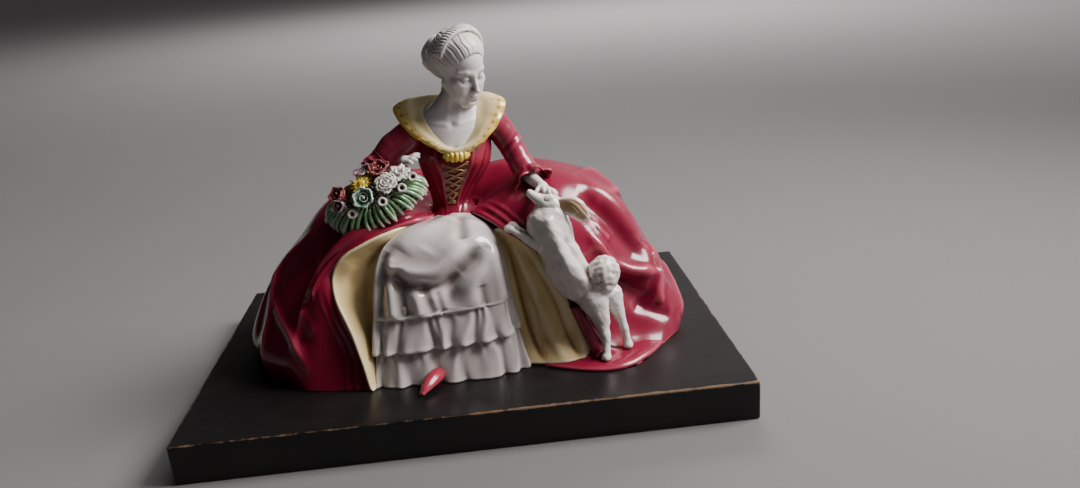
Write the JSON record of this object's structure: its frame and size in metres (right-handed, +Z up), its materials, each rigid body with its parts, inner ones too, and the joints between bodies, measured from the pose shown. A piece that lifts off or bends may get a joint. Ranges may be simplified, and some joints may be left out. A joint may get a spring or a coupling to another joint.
{
  "type": "lady figurine",
  "caption": "Glazed ceramic lady seated in a wide crimson gown, with a basket of flowers on her lap and a small dog at her knee, on a black wooden plinth.",
  "frame": {"origin": "centre of the plinth's underside, at the bottom centre of the bounding box", "axes": "+Z up, +X along the plinth's long side towards the lady's left, the lady faces -Y"},
  "size_m": [0.3, 0.202, 0.2044],
  "materials": {
    "black_paint": "black satin paint over wood, rubbed thin along the edges",
    "crimson_glaze": "thick glossy crimson glaze, darker where it pools",
    "cream_glaze": "glossy cream glaze",
    "white_glaze": "glossy off-white glaze with grey shading in the folds",
    "flesh_glaze": "thin satin white glaze",
    "yellow_glaze": "glossy yellow glaze",
    "gold_glaze": "glossy old-gold glaze",
    "green_glaze": "glossy green glaze, pale at the leaf tips",
    "pale_green_glaze": "glossy pale green glaze",
    "rose_glaze": "glossy dull red glaze",
    "mauve_glaze": "glossy mauve glaze",
    "blossom_glaze": "glossy ivory glaze",
    "basket_glaze": "dark olive-brown glaze",
    "dog_glaze": "satin white glaze with faint warm shading"
  },
  "bodies": {
    "root": {"plinth": "black_paint", "gown_skirt": "crimson_glaze", "gown_train": "crimson_glaze", "petticoat_panel": "white_glaze", "petticoat_middle_flounce": "white_glaze", "petticoat_bottom_flounce": "white_glaze", "right_side_lining": "cream_glaze", "left_side_lining": "cream_glaze", "shoe": "crimson_glaze", "bodice": "crimson_glaze", "neck_and_shoulders": "flesh_glaze", "collar": "cream_glaze", "neckline_bow": "yellow_glaze", "bodice_lacing": "gold_glaze", "head": "flesh_glaze", "hair": "flesh_glaze", "chignon": "flesh_glaze", "hair_comb": "flesh_glaze", "right_sleeve": "crimson_glaze", "left_sleeve": "crimson_glaze", "right_cuff": "crimson_glaze", "left_cuff": "crimson_glaze", "right_hand": "flesh_glaze", "left_hand": "flesh_glaze", "flower_basket": "basket_glaze", "leaf_fringe": "green_glaze", "tube_flower_1": "blossom_glaze", "tube_flower_2": "blossom_glaze", "tube_flower_3": "blossom_glaze", "tube_flower_4": "blossom_glaze", "pale_rose": "pale_green_glaze", "red_rose": "rose_glaze", "brown_rose": "rose_glaze", "mauve_rose": "mauve_glaze", "yellow_daisy": "yellow_glaze", "white_carnation": "blossom_glaze", "white_star": "blossom_glaze", "pink_bud": "mauve_glaze", "dog_body": "dog_glaze", "dog_head": "dog_glaze", "dog_near_ear": "dog_glaze", "dog_far_ear": "dog_glaze", "dog_tail": "dog_glaze", "dog_near_foreleg": "dog_glaze", "dog_far_foreleg": "dog_glaze", "dog_near_hind_leg": "dog_glaze", "dog_far_hind_leg": "dog_glaze"}
  },
  "joints": []
}
